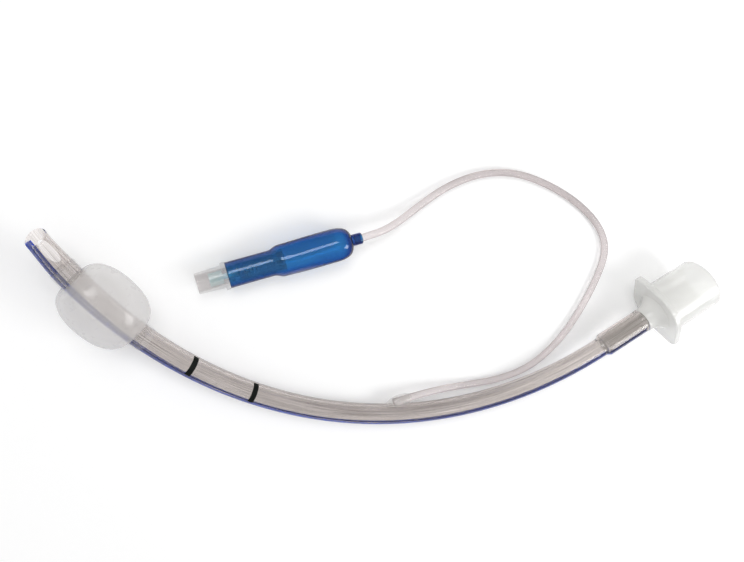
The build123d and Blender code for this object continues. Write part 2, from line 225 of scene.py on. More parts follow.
def finish_cut(thing: bpy.types.Object, sharp: float) -> bpy.types.Object:
    """Smooth a cut piece again, with sharp edges above an angle in degrees."""
    thing.data.shade_smooth()
    thing.data.set_sharp_from_angle(angle=math.radians(sharp))
    return thing


def close_ends(thing: bpy.types.Object, count: int, rows: int) -> None:
    """Close the two ends of an open skin with flat faces."""
    skin = bmesh.new()
    skin.from_mesh(thing.data)
    skin.verts.ensure_lookup_table()
    skin.faces.new([skin.verts[number] for number in reversed(range(count))])
    skin.faces.new([skin.verts[(rows - 1) * count + number] for number in range(count)])
    skin.to_mesh(thing.data)
    skin.free()
    thing.data.update()


def folded_sides(count: int) -> list[float]:
    """Texture places round a ring that run out and back, so the pattern has no seam."""
    half = count / 2
    return [SIDE_SCALE * (half - abs(half - step)) / half for step in range(count + 1)]


def ring_roll(step: int, count: int) -> float:
    """Roll in degrees of one point of a ring, the first one on the underside."""
    return 360 * step / count - 90


def turned_piece(
    name: str,
    axis: Callable[[float, float, float], Vector],
    outline: Sequence[tuple[float, float]],
    count: int = 96,
    loop: bool = True,
    sharp: float = 40.0,
    warp: Optional[Callable[[float, float, float], float]] = None,
) -> bpy.types.Object:
    """Turn an outline about an axis or along the bow.

    Args:
        name: name of the piece.
        axis: gives the point at a station, a roll and a radius.
        outline: stations and radii in mm.
        count: points round the piece.
        loop: whether the outline closes on itself.
        sharp: angle in degrees above which an edge stays sharp.
        warp: change of radius in mm at a station, a roll and a radius.

    Returns:
        The new object.
    """
    rings = []
    for station, radius in outline:
        ring = []
        for step in range(count):
            roll = ring_roll(step, count)
            moved = radius + (warp(station, roll, radius) if warp else 0)
            ring.append(axis(station, roll, moved))
        rings.append(ring)
    lengths = [station for station, _ in outline]
    return ring_mesh(name, rings, folded_sides(count), lengths, loop, sharp)


def bezier(points: Sequence[tuple[float, float]], steps: int) -> Outline:
    """Points on a Bezier curve with four control points."""
    out = []
    for step in range(steps + 1):
        t = step / steps
        weights = ((1 - t) ** 3, 3 * t * (1 - t) ** 2, 3 * t * t * (1 - t), t**3)
        out.append(
            (
                sum(weight * point[0] for weight, point in zip(weights, points)),
                sum(weight * point[1] for weight, point in zip(weights, points)),
            )
        )
    return out


def cut(thing: bpy.types.Object, cutter: bpy.types.Object) -> None:
    """Cut a closed piece with another and drop the cutter."""
    tool = thing.modifiers.new("cut", "BOOLEAN")
    tool.object = cutter
    tool.operation = "DIFFERENCE"
    tool.solver = "EXACT"
    bpy.context.view_layer.update()
    graph = bpy.context.evaluated_depsgraph_get()
    result = bpy.data.meshes.new_from_object(thing.evaluated_get(graph))
    thing.modifiers.clear()
    thing.data = result
    bpy.data.objects.remove(cutter)


# Shader groups shared by the finishes


def group_socket(
    group: bpy.types.NodeTree, name: str, kind: str, into: bool, value: object = None
) -> None:
    """Add one named socket to a shader group."""
    socket = group.interface.new_socket(
        name=name, in_out="INPUT" if into else "OUTPUT", socket_type="NodeSocket" + kind
    )
    if value is not None:
        socket.default_value = value


@dataclass
class GrainGroup:
    """Shader group that varies colour, roughness and height with layered noise."""

    name: str = "surface_grain"
    broad_detail: float = 3.0
    fine_detail: float = 5.0
    fine_ratio: float = 5.3
    fine_share: float = 0.3
    darkest: float = 0.3
    lightest: float = 0.7
    tree: Optional[bpy.types.NodeTree] = field(default=None, init=False)

    def sockets(self, tree: bpy.types.NodeTree) -> None:
        """Add the group's inputs and outputs."""
        for name, kind, value in (
            ("Place", "Vector", None),
            ("Scale", "Float", 60.0),
            ("Light", "Color", (0.8, 0.8, 0.8, 1)),
            ("Dark", "Color", (0.5, 0.5, 0.5, 1)),
            ("Smoothest", "Float", 0.1),
            ("Roughest", "Float", 0.3),
        ):
            group_socket(tree, name, kind, True, value)
        for name, kind in (("Colour", "Color"), ("Roughness", "Float"), ("Height", "Float")):
            group_socket(tree, name, kind, False)

    def cloud(
        self, tree: bpy.types.NodeTree, place: bpy.types.NodeSocket, detail: float
    ) -> bpy.types.Node:
        """Noise of one detail at a place."""
        cloud = tree.nodes.new("ShaderNodeTexNoise")
        cloud.inputs["Detail"].default_value = detail
        tree.links.new(place, cloud.inputs["Vector"])
        return cloud

    def spread(self, tree: bpy.types.NodeTree, cloud: bpy.types.Node) -> bpy.types.Node:
        """Stretch a noise to its full range."""
        spread = tree.nodes.new("ShaderNodeMapRange")
        spread.inputs["From Min"].default_value = self.darkest
        spread.inputs["From Max"].default_value = self.lightest
        tree.links.new(cloud.outputs["Fac"], spread.inputs["Value"])
        return spread

    def build(self) -> bpy.types.NodeTree:
        """Make the group once and give it back."""
        if self.tree:
            return self.tree
        tree = bpy.data.node_groups.new(self.name, "ShaderNodeTree")
        self.sockets(tree)
        nodes, links = tree.nodes, tree.links
        inside = nodes.new("NodeGroupInput")
        outside = nodes.new("NodeGroupOutput")
        broad = self.cloud(tree, inside.outputs["Place"], self.broad_detail)
        fine = self.cloud(tree, inside.outputs["Place"], self.fine_detail)
        faster = nodes.new("ShaderNodeMath")
        faster.operation = "MULTIPLY"
        faster.inputs[1].default_value = self.fine_ratio
        links.new(inside.outputs["Scale"], broad.inputs["Scale"])
        links.new(inside.outputs["Scale"], faster.inputs[0])
        links.new(faster.outputs[0], fine.inputs["Scale"])
        tone = nodes.new("ShaderNodeMix")
        tone.data_type = "RGBA"
        links.new(self.spread(tree, broad).outputs["Result"], tone.inputs["Factor"])
        links.new(inside.outputs["Light"], tone.inputs["A"])
        links.new(inside.outputs["Dark"], tone.inputs["B"])
        polish = self.spread(tree, fine)
        links.new(inside.outputs["Smoothest"], polish.inputs["To Min"])
        links.new(inside.outputs["Roughest"], polish.inputs["To Max"])
        blend = nodes.new("ShaderNodeMath")
        blend.operation = "MULTIPLY_ADD"
        blend.inputs[1].default_value = self.fine_share
        links.new(fine.outputs["Fac"], blend.inputs[0])
        links.new(broad.outputs["Fac"], blend.inputs[2])
        links.new(tone.outputs["Result"], outside.inputs["Colour"])
        links.new(polish.outputs["Result"], outside.inputs["Roughness"])
        links.new(blend.outputs[0], outside.inputs["Height"])
        self.tree = tree
        return tree


GRAIN = GrainGroup()


@dataclass(frozen=True)
class Finish:
    """One finish: its colours, gloss and how it lets light through.

    Light and dark are the ends of its colour noise, smoothest and roughest those of its gloss.
    """

    name: str
    light: Colour
    dark: Colour
    smoothest: float
    roughest: float
    pattern: Pattern = Pattern.MOULDED
    scale: float = 400.0
    bump: float = 0.05
    transmission: float = 0.0
    ior: float = 1.5
    alpha: float = 1.0
    metallic: float = 0.0
    coat: float = 0.0
    coat_ior: float = 1.5
    coat_tint: Colour = (1.0, 1.0, 1.0)
    subsurface: float = 0.0
    depth_colour: Colour = (1.0, 1.0, 1.0)
    depth_density: float = 0.0
    shares_slot: str = ""

    @property
    def slot(self) -> str:
        """Material slot of the record that the finish belongs to."""
        return self.shares_slot or self.name

    def grain(self, tree: bpy.types.NodeTree) -> bpy.types.Node:
        """Add the shared grain, laid out and coloured for this finish."""
        grain = tree.nodes.new("ShaderNodeGroup")
        grain.node_tree = GRAIN.build()
        place = tree.nodes.new("ShaderNodeTexCoord")
        shift = tree.nodes.new("ShaderNodeMapping")
        if self.pattern is Pattern.DRAWN:
            tree.links.new(place.outputs["UV"], shift.inputs["Vector"])
            shift.inputs["Scale"].default_value = (1.0, DRAWN_STRETCH, 1.0)
        else:
            tree.links.new(place.outputs["Object"], shift.inputs["Vector"])
        tree.links.new(shift.outputs["Vector"], grain.inputs["Place"])
        for socket, value in (
            ("Scale", self.scale),
            ("Light", (*self.light, 1)),
            ("Dark", (*self.dark, 1)),
            ("Smoothest", self.smoothest),
            ("Roughest", self.roughest),
        ):
            grain.inputs[socket].default_value = value
        return grain

    def material(self) -> bpy.types.Material:
        """Build the finish as a material with its grain."""
        surface = bpy.data.materials.new(self.name)
        surface.use_nodes = True
        nodes, links = surface.node_tree.nodes, surface.node_tree.links
        shader = nodes["Principled BSDF"]
        grain = self.grain(surface.node_tree)
        bump = nodes.new("ShaderNodeBump")
        bump.inputs["Strength"].default_value = self.bump
        bump.inputs["Distance"].default_value = BUMP_DEPTH
        links.new(grain.outputs["Colour"], shader.inputs["Base Color"])
        links.new(grain.outputs["Roughness"], shader.inputs["Roughness"])
        links.new(grain.outputs["Height"], bump.inputs["Height"])
        links.new(bump.outputs["Normal"], shader.inputs["Normal"])
        for socket, value in (
            ("Transmission Weight", self.transmission),
            ("IOR", self.ior),
            ("Alpha", self.alpha),
            ("Metallic", self.metallic),
            ("Coat Weight", self.coat),
            ("Coat Roughness", COAT_ROUGHNESS),
            ("Coat IOR", self.coat_ior),
            ("Coat Tint", (*self.coat_tint, 1)),
            ("Subsurface Weight", self.subsurface),
            ("Subsurface Radius", SUBSURFACE_REACH),
            ("Subsurface Scale", 1.0),
        ):
            shader.inputs[socket].default_value = value
        if self.depth_density:
            depth = nodes.new("ShaderNodeVolumeAbsorption")
            depth.inputs["Color"].default_value = (*self.depth_colour, 1)
            depth.inputs["Density"].default_value = self.depth_density
            links.new(depth.outputs["Volume"], nodes["Material Output"].inputs["Volume"])
        return surface


# Finishes


CLEAR_VINYL = Finish(
    "clear_pvc", (0.98, 0.96, 0.95), (0.58, 0.55, 0.53), 0.08, 0.25, Pattern.DRAWN, 4.0, 0.03,
    transmission=1.0, ior=1.1, coat=1.0, depth_colour=(0.6, 0.54, 0.52), depth_density=265.0,
)
COLLAR_VINYL = Finish(
    "collar_vinyl", (0.74, 0.72, 0.71), (0.68, 0.65, 0.64), 0.1, 0.25,
    bump=0.0, alpha=0.1, coat=0.6, shares_slot="cuff_film",
)
LINE_VINYL = Finish(
    "line_pvc", (0.96, 0.95, 0.95), (0.88, 0.86, 0.86), 0.04, 0.1, Pattern.DRAWN, 3.0, 0.0,
    transmission=0.9, ior=1.3, coat=1.0, coat_ior=1.03, coat_tint=(0.89, 0.87, 0.87),
)
STRIPE_BLUE = Finish("stripe_blue", (0.01, 0.1, 0.85), (0.01, 0.05, 0.6), 0.25, 0.4, Pattern.DRAWN, 3.0)
MARK_INK = Finish("mark_ink", (0.008, 0.01, 0.009), (0.004, 0.005, 0.004), 0.3, 0.5, ior=1.2)
CUFF_FILM = Finish(
    "cuff_film", (0.88, 0.855, 0.84), (0.85, 0.82, 0.81), 0.26, 0.32,
    scale=120.0, bump=0.0, alpha=0.42, coat=1.0,
)
POLYPROPYLENE = Finish(
    "connector_plastic", (0.98, 0.98, 0.95), (0.94, 0.935, 0.915), 0.12, 0.2,
    scale=120.0, bump=0.0, ior=1.45, alpha=0.5, coat=1.0,
)
CEMENT = Finish(
    "cement", (0.86, 0.83, 0.8), (0.78, 0.74, 0.7), 0.08, 0.2,
    bump=0.02, alpha=0.25, coat=0.6,
)
BALLOON_FILM = Finish(
    "balloon_blue", (0.95, 0.97, 1.0), (0.8, 0.87, 0.96), 0.05, 0.12, scale=180.0, bump=0.02,
    transmission=1.0, ior=1.04, coat=1.0, depth_colour=(0.005, 0.7, 0.86), depth_density=9000.0,
)
VALVE_CLEAR = Finish(
    "valve_clear", (0.44, 0.38, 0.37), (0.38, 0.32, 0.32), 0.04, 0.1,
    bump=0.0, alpha=0.18, coat=1.0,
)
PLUNGER_WHITE = Finish(
    "plunger_white", (0.8, 0.97, 0.97), (0.72, 0.92, 0.94), 0.25, 0.4,
    subsurface=0.1,
)
SEAL_RUBBER = Finish("seal_rubber", (0.4, 0.75, 0.9), (0.3, 0.65, 0.82), 0.4, 0.55)
SPRING_STEEL = Finish("spring_steel", (0.92, 0.93, 0.95), (0.8, 0.81, 0.84), 0.15, 0.3, metallic=1.0)


def dress(thing: bpy.types.Object, finish: Finish, made: Made) -> None:
    """Give a piece its finish.

    Args:
        thing: the piece, or a CAD node's object.
        finish: the finish to give it.
        made: materials built so far, by name.
    """
    if finish.name not in made:
        made[finish.name] = finish.material()
    thing.data.materials.clear()
    thing.data.materials.append(made[finish.name])


def settle(
    thing: bpy.types.Object, finish: Finish, made: Made, body: Body, *stands_for: str
) -> bpy.types.Object:
    """Dress a new piece, put it on its body and hide the CAD nodes it stands for."""
    dress(thing, finish, made)
    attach(thing, body.value)
    if stands_for:
        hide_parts(*stands_for)
    log.info("%s rides %s, finish %s", thing.name, body.value, finish.name)
    return thing


# Pieces


@dataclass
class Shaft:
    """Vinyl shaft with its bevel, eye and stretched end, its stripe and its depth marks.

    Sizes are in mm, angles and rolls in degrees.
    """

    radius: float = 2.75
    lumen: float = 2.0
    stretched: float = 3.45
    ramp: float = 1.3
    straight: float = 14.7
    stub: float = 2.66
    stub_start: float = 0.8
    bevel_angle: float = 60.0
    bevel_roll: float = 92.0
    bevel_lead: float = 1.2
    drawn_radius: float = 2.35
    drawn_length: float = 10.0
    eye_length: float = 5.9
    eye_width: float = 2.7
    eye_setback: float = 2.65
    eye_roll: float = 276.0
    eye_count: int = 64
    eye_reach: float = 0.4
    stripe_roll: float = -16.0
    stripe_twist: float = 40.0
    stripe_width: float = 2.4
    stripe_depth: float = 0.45
    mark_angles: tuple[float, float] = (-126.5, -117.4)
    mark_width: float = 1.35
    mark_from: float = 62.0
    mark_span: float = 112.0
    count: int = 96
    fan_length: float = 9.0
    fan_rings: int = 20
    bow_rings: int = 150
    ramp_rings: int = 16
    ramp_pitch: float = 0.1
    straight_rings: int = 12
    lip_bulge: float = 0.16
    seat_ramp: float = 0.4
    rim_round: float = 0.2
    rim_length: float = 0.25
    bore_round: float = 0.15
    strip_pitch: float = 1.2
    stripe_cover: float = 0.06
    stripe_end: float = 0.4
    twist_length: float = 70.0
    ink_start: float = 0.02
    ink_end: float = 0.06
    sharp: float = 50.0

    def outside(self, station: float) -> float:
        """Outside radius at a station, drawn in towards the tip."""
        share = smooth((station - self.tip_station()) / self.drawn_length)
        body = mix(self.drawn_radius, self.radius, share)
        return mix(body, self.stretched, smooth(station / self.ramp))

    def inside(self, station: float) -> float:
        """Inside radius at a station, opened where the stub sits."""
        body = self.lumen - max(0.0, self.radius - self.outside(min(station, 0.0)))
        share = smooth((station - self.stub_start + self.seat_ramp) / self.seat_ramp)
        return mix(body, self.stub, share)

    def tip_station(self) -> float:
        """Station at which the slanted cut meets the centreline."""
        return BOW.station(BOW.tip_angle) - self.bevel_lead

    def bevel_plane(self) -> tuple[Vector, Vector]:
        """Point and normal of the slanted cut, in mm."""
        centre, inward, up, along = BOW.axes(self.tip_station())
        across, high = roll_dir(self.bevel_roll)
        opening = inward * across + up * high
        slant = math.radians(self.bevel_angle)
        return centre, opening * math.cos(slant) - along * math.sin(slant)

    def cut_station(self, roll: float, radius_at: Callable[[float], float]) -> float:
        """Station at which the wall at a roll meets the slanted cut, found by halving."""
        centre, normal = self.bevel_plane()
        low = self.tip_station() - self.fan_length
        high = self.tip_station() + 2 * self.fan_length
        for _ in range(HALVINGS):
            middle = (low + high) / 2
            if (BOW.point(middle, roll, radius_at(middle)) / MM - centre).dot(normal) > 0:
                low = middle
            else:
                high = middle
        return (low + high) / 2

    def section(self, station: float, radius: float) -> Ring:
        """Plain ring at a station."""
        return [BOW.point(station, ring_roll(step, self.count), radius) for step in range(self.count)]

    def wall_rings(
        self, radius_at: Callable[[float], float], stations: Sequence[float]
    ) -> list[Ring]:
        """Rings of one wall, the first ones fanned out from the slanted cut."""
        rolls = [ring_roll(step, self.count) for step in range(self.count)]
        cuts = [self.cut_station(roll, radius_at) for roll in rolls]
        rings = []
        for row in range(self.fan_rings):
            places = [mix(start, stations[0], row / self.fan_rings) for start in cuts]
            pairs = zip(places, rolls)
            rings.append([BOW.point(place, roll, radius_at(place)) for place, roll in pairs])
        return rings + [self.section(station, radius_at(station)) for station in stations]

    def stations(self) -> list[float]:
        """Stations of the rings past the tip."""
        start = BOW.station(BOW.tip_angle) + self.fan_length
        bow = [mix(start, 0, step / self.bow_rings) for step in range(self.bow_rings)]
        ramp = [self.ramp_pitch * step for step in range(self.ramp_rings)]
        first, last = self.ramp_pitch * self.ramp_rings, self.straight - self.rim_length
        end = [mix(first, last, step / self.straight_rings) for step in range(self.straight_rings + 1)]
        return bow + ramp + end

    def build_wall(self) -> bpy.types.Object:
        """Shaft wall as one closed skin, with a rounded lip and the eye cut through."""
        stations = self.stations()
        outer = self.wall_rings(self.outside, stations)
        inner = self.wall_rings(self.inside, stations)
        _, normal = self.bevel_plane()
        lip = []
        for share in (0.25, 0.5, 0.75):
            bulge = math.sin(math.pi * share) * self.lip_bulge * MM
            lip.append([a.lerp(b, share) + normal * bulge for a, b in zip(inner[0], outer[0])])
        rim = (self.stretched - self.rim_round, self.stub + self.bore_round)
        end = [self.section(self.straight, radius) for radius in rim]
        rings = outer + end + inner[::-1] + lip
        tip = BOW.station(BOW.tip_angle)
        fan = [tip + self.fan_length * row / self.fan_rings for row in range(self.fan_rings)]
        along = fan + stations
        lengths = along + [self.straight] * len(end) + along[::-1] + [along[0]] * len(lip)
        wall = ring_mesh("shaft_wall", rings, folded_sides(self.count), lengths, True, self.sharp)
        cut(wall, self.eye_cutter())
        return finish_cut(wall, self.sharp)

    def eye_cutter(self) -> bpy.types.Object:
        """Oval prism that opens the eye in the underside wall."""
        station = BOW.station(BOW.tip_angle) + self.eye_setback
        centre, inward, up, along = BOW.axes(station)
        across, high = roll_dir(self.eye_roll)
        outward = inward * across + up * high
        side = outward.cross(along)
        count, points = self.eye_count, []
        for reach in (self.eye_reach, self.radius + 2):
            for step in range(count):
                turn = TAU * step / count
                length = math.cos(turn) * self.eye_length / 2
                width = math.sin(turn) * self.eye_width / 2
                points.append(tuple((centre + outward * reach + along * length + side * width) * MM))
        faces = [(s, (s + 1) % count, count + (s + 1) % count, count + s) for s in range(count)]
        faces += [tuple(range(count - 1, -1, -1)), tuple(range(count, 2 * count))]
        mesh = bpy.data.meshes.new("eye_cutter")
        mesh.from_pydata(points, [], faces)
        mesh.update()
        return finish_object("eye_cutter", mesh, 30)

    def strip(
        self,
        name: str,
        ends: tuple[float, float],
        radii: tuple[float, float],
        span: Sequence[float],
        twist: float = 0.0,
    ) -> bpy.types.Object:
        """Curved strip that follows the shaft.

        Args:
            name: name of the piece.
            ends: stations of its two ends in mm.
            radii: its inside and outside radius in mm.
            span: rolls across it in degrees.
            twist: degrees by which it turns about the shaft near the tip.

        Returns:
            The new object.
        """
        (start, end), (low, high) = ends, radii
        rings, lengths = [], []
        steps = max(6, int((end - start) / self.strip_pitch))
        for step in range(steps + 1):
            station = mix(start, end, step / steps)
            extra = self.outside(station) - self.radius
            turned = twist * smooth((station - start) / self.twist_length)
            ring = [BOW.point(station, roll + turned, high + extra) for roll in span]
            ring += [BOW.point(station, roll + turned, low + extra) for roll in reversed(span)]
            rings.append(ring)
            lengths.append(station)
        thing = ring_mesh(name, rings, folded_sides(len(rings[0])), lengths, False, 40)
        close_ends(thing, len(rings[0]), len(rings))
        return thing

    def build_stripe(self) -> bpy.types.Object:
        """Coloured line set just under the surface."""
        half = math.degrees(self.stripe_width / 2 / self.radius)
        span = [mix(self.stripe_roll - half, self.stripe_roll + half, step / 8) for step in range(9)]
        start = self.cut_station(self.stripe_roll, self.outside) + self.stripe_end
        ends = (start, self.straight - self.stripe_end)
        radii = (self.radius - self.stripe_depth, self.radius - self.stripe_cover)
        return self.strip("stripe_ribbon", ends, radii, span, self.stripe_twist)

    def build_marks(self) -> list[bpy.types.Object]:
        """Two printed bands that wrap part of the shaft."""
        marks = []
        half = self.mark_width / 2
        radii = (self.radius + self.ink_start, self.radius + self.ink_end)
        span = [mix(self.mark_from, self.mark_from + self.mark_span, step / 40) for step in range(41)]
        for number, angle in enumerate(self.mark_angles, start=1):
            middle = BOW.station(angle)
            ends = (middle - half, middle + half)
            marks.append(self.strip(f"depth_band_{number}", ends, radii, span))
        return marks

    def build(self, made: Made) -> None:
        """Build and dress the shaft, the stripe and the marks."""
        settle(self.build_wall(), CLEAR_VINYL, made, Body.TUBE, "shaft")
        settle(self.build_stripe(), STRIPE_BLUE, made, Body.TUBE, "radiopaque_stripe")
        for mark in self.build_marks():
            settle(mark, MARK_INK, made, Body.TUBE, "depth_marks")


@dataclass
class Cuff:
    """Blown film cuff on its two collars, in mm and degrees."""

    angle: float = -139.36
    radius: float = 7.88
    half: float = 8.65
    offset: float = 0.28
    shoulder: float = 0.8
    tip_fullness: float = 0.58
    far_fullness: float = 0.61
    seat: float = 2.78
    collar_radius: float = 3.05
    collar_length: float = 3.6
    collar_lap: float = 0.3
    collar_round: float = 0.08
    pleat_height: float = 0.1
    pleat_pitch: float = 5.0
    crest: float = 0.45
    steps: int = 36

    def wrinkle(self, station: float, roll: float, radius: float) -> float:
        """Fine pleats that fade from the collars to the crest."""
        near = smooth((abs(station) / self.half - self.crest) / 0.5)
        turn = math.radians(roll)
        x, y = math.cos(turn) * self.pleat_pitch, math.sin(turn) * self.pleat_pitch
        pleat = noise.noise(Vector((x, y, 0.4 * math.copysign(1, station))))
        return pleat * self.pleat_height * near * smooth((radius - self.collar_radius) / 1.5)

    def build_film(self) -> bpy.types.Object:
        """Barrel of thin film between the collars."""
        top, end, low = self.radius, self.half, self.collar_radius - 0.05
        side = self.shoulder * top
        near, far = -self.tip_fullness * end, self.far_fullness * end
        front = bezier([(-end, low), (-end, side), (near, top), (0, top)], self.steps)
        back = bezier([(0, top), (far, top), (end, side), (end, low)], self.steps)
        centre, inward, _, along = BOW.axes(BOW.station(self.angle))
        axis = Axis(origin=tuple(centre + inward * self.offset), along=tuple(along))
        return turned_piece("cuff_film", axis.point, front + back[1:], 160, False, 80, self.wrinkle)

    def build_collar(self, name: str, side: int) -> bpy.types.Object:
        """Collar that seals one end of the film to the shaft, -1 towards the tip or 1 away from it."""
        near = BOW.station(self.angle) + side * (self.half - self.collar_lap)
        far = near + side * self.collar_length
        outline = [
            (near, self.seat),
            (near, self.collar_radius + 0.05),
            (mix(near, far, 0.9), self.collar_radius),
            (mix(near, far, 0.98), self.collar_radius - self.collar_round),
            (far, self.seat + self.collar_round),
            (far, self.seat),
        ]
        return turned_piece(name, BOW.point, outline, 96, True, 30)

    def build(self, made: Made) -> None:
        """Build and dress the film and the collars."""
        settle(self.build_film(), CUFF_FILM, made, Body.TUBE, "cuff")
        settle(self.build_collar("cuff_tip_collar", -1), COLLAR_VINYL, made, Body.TUBE, "cuff")
        settle(self.build_collar("cuff_far_collar", 1), COLLAR_VINYL, made, Body.TUBE, "cuff")


@dataclass
class Pilot:
    """Pilot balloon and the valve inside it, in mm from the valve's mouth."""

    barrel_start: float = 7.3
    sleeve_length: float = 10.5
    barrel_radius: float = 2.87
    wall: float = 0.28
    bulb_radius: float = 4.15
    front_radius: float = 3.95
    shoulder: float = 2.5
    dome: float = 4.05
    end: float = 38.2
    tail_length: float = 2.7
    tail_radius: float = 1.45
    line_radius: float = 0.97
    spring_start: float = 11.12
    spring_length: float = 8.5
    spring_radius: float = 0.97
    spring_turns: float = 9.5
    spring_clear: float = 0.02
    wire_radius: float = 0.13
    wire_count: int = 10
    turn_steps: int = 28
    press: float = 1.6
    dent_depth: float = 0.22
    dent_fade: float = 3.0
    rings: int = 14
    bulb_rings: int = 16
    dome_steps: int = 20
    tail_rings: int = 5

    def crease(self, station: float, roll: float, radius: float) -> float:
        """Soft dents along the bulb."""
        start = self.barrel_start + self.sleeve_length
        share = smooth((station - start) / self.dent_fade)
        share *= smooth((self.end - station) / self.dent_fade)
        turn = math.radians(roll)
        dent = noise.noise(Vector((math.cos(turn) * 1.6, math.sin(turn) * 1.6, station * 0.09)))
        return dent * self.dent_depth * share * smooth((radius - self.tail_radius) / 1.5)

    def skin(self, inset: float) -> Outline:
        """Stations and radii of the balloon's skin, moved inwards by an inset in mm."""
        sleeve = self.barrel_radius + self.wall - inset
        start = self.barrel_start + self.sleeve_length
        shoulder, dome = start + self.shoulder, self.end - self.dome
        front, full = self.front_radius - inset, self.bulb_radius - inset
        low = self.line_radius if inset else self.tail_radius
        end = self.end - inset
        crown = mix(self.tail_radius, full, 0.6)
        shares = [step / self.rings for step in range(self.rings)]
        skin = [(mix(self.barrel_start + 0.1, start, share), sleeve) for share in shares]
        skin += [(mix(start, shoulder, share), mix(sleeve, front, smooth(share))) for share in shares]
        shares = [step / self.bulb_rings for step in range(self.bulb_rings)]
        skin += [(mix(shoulder, dome, share), mix(front, full, share)) for share in shares]
        bend = mix(dome, end, 0.6)
        skin += bezier([(dome, full), (bend, full), (end, crown), (end, low)], self.dome_steps)
        first, last = self.end + 0.2, self.end + self.tail_length - 0.15
        shares = [step / (self.tail_rings - 1) for step in range(self.tail_rings)]
        return skin + [(mix(first, last, share), low) for share in shares]

    def build_balloon(self) -> bpy.types.Object:
        """Sleeve, bulb and tail of the balloon as one skin with its thickness."""
        outer = self.skin(0.0)
        inner = self.skin(self.wall)
        tail = self.end + self.tail_length
        start = (self.barrel_start, self.barrel_radius + self.wall - 0.04)
        end = [(tail, self.tail_radius - 0.12), (tail, self.line_radius)]
        outline = [start, *outer, *end, *inner[::-1]]
        return turned_piece("balloon_skin", PILOT.point, outline, 128, False, 50, self.crease)

    def build_spring(self) -> bpy.types.Object:
        """Fine coil between the seal and the plug."""
        steps = int(self.spring_turns * self.turn_steps)
        first = self.spring_start + self.spring_clear + self.wire_radius
        height = self.spring_length - 2 * (self.spring_clear + self.wire_radius)
        rings = []
        for step in range(steps + 1):
            station, roll = first + height * step / steps, 360 * self.spring_turns * step / steps
            ring = []
            for side in range(self.wire_count):
                turn = TAU * side / self.wire_count
                reach = self.spring_radius + self.wire_radius * math.cos(turn)
                ring.append(PILOT.point(station + self.wire_radius * math.sin(turn), roll, reach))
            rings.append(ring)
        lengths = [self.spring_radius * TAU * step / self.turn_steps for step in range(steps + 1)]
        coil = ring_mesh("spring_coil", rings, folded_sides(self.wire_count), lengths, False, 60)
        close_ends(coil, self.wire_count, steps + 1)
        return coil

    def build(self, made: Made) -> list[bpy.types.Object]:
        """Build the balloon and the spring and dress the valve's CAD nodes.

        Args:
            made: materials built so far, by name.

        Returns:
            All that the line carries at its end.
        """
        skin = settle(self.build_balloon(), BALLOON_FILM, made, Body.TUBE, "pilot_balloon")
        coil = settle(self.build_spring(), SPRING_STEEL, made, Body.TUBE, "valve_spring")
        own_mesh(coil)
        carried = [skin, coil]
        for node, finish in (
            ("valve_housing", VALVE_CLEAR),
            ("spring_plug", VALVE_CLEAR),
            ("valve_plunger", PLUNGER_WHITE),
            ("plunger_seal", SEAL_RUBBER),
        ):
            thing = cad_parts[node]
            dress(thing, finish, made)
            carried.append(thing)
            log.info("%s keeps its CAD shape, finish %s", node, finish.name)
        return carried


@dataclass
class InflationLine:
    """Fine vinyl line from the shaft to the tail of the balloon, in mm."""

    diameter: float = 1.9
    length: float = 178.1
    route: tuple[Point, ...] = (
        (-8.16, -21.31, 3.64),
        (-3.20, -20.50, 3.61),
        (4.54, -19.78, 2.71),
        (14.44, -19.90, 1.23),
        (24.99, -19.63, 0.97),
        (35.80, -16.95, 0.97),
        (45.15, -9.91, 0.97),
        (52.05, -0.99, 0.97),
        (57.57, 9.20, 0.97),
        (59.83, 17.06, 0.97),
        (56.53, 24.00, 0.97),
        (49.02, 30.43, 0.97),
        (38.91, 35.72, 0.97),
        (27.69, 39.26, 0.97),
        (17.01, 38.98, 0.97),
        (7.09, 35.57, 0.97),
        (-1.66, 30.00, 1.48),
        (-8.80, 25.68, 3.28),
        (-14.54, 23.95, 4.91),
        (-19.20, 22.83, 4.72),
    )

    def build(self, made: Made, carried: Sequence[bpy.types.Object]) -> None:
        """Args:
            made: materials built so far, by name.
            carried: the pieces at its far end; not used.
        """
        curve = bpy.data.curves.new("inflation_tube", "CURVE")
        curve.dimensions = "3D"
        curve.bevel_depth = self.diameter / 2 * MM
        curve.bevel_resolution = 8
        curve.resolution_u = 14
        curve.use_fill_caps = True
        spline = curve.splines.new("NURBS")
        spline.points.add(len(self.route) - 1)
        for point, place in zip(spline.points, self.route):
            point.co = (*(Vector(place) * MM), 1)
        spline.order_u = 3
        spline.use_endpoint_u = True
        thing = bpy.data.objects.new("inflation_tube", curve)
        bpy.context.scene.collection.objects.link(thing)
        settle(thing, LINE_VINYL, made, Body.TUBE, "inflation_line")


# Floor, light and camera


@dataclass(frozen=True)
class Lamp:
    """Soft rectangular lamp, with its place, aim and size in mm and its power in watts."""

    name: str
    place: Point
    aim: Point
    size: tuple[float, float]
    power: float

    def build(self) -> None:
        """Hang the lamp."""
        light = bpy.data.lights.new(self.name, "AREA")
        light.shape = "RECTANGLE"
        light.size, light.size_y = self.size[0] * MM, self.size[1] * MM
        light.energy = self.power
        thing = bpy.data.objects.new(self.name, light)
        thing.location = Vector(self.place) * MM
        look = Vector(self.aim) - Vector(self.place)
        thing.rotation_euler = look.to_track_quat("-Z", "Y").to_euler()
        bpy.context.scene.collection.objects.link(thing)


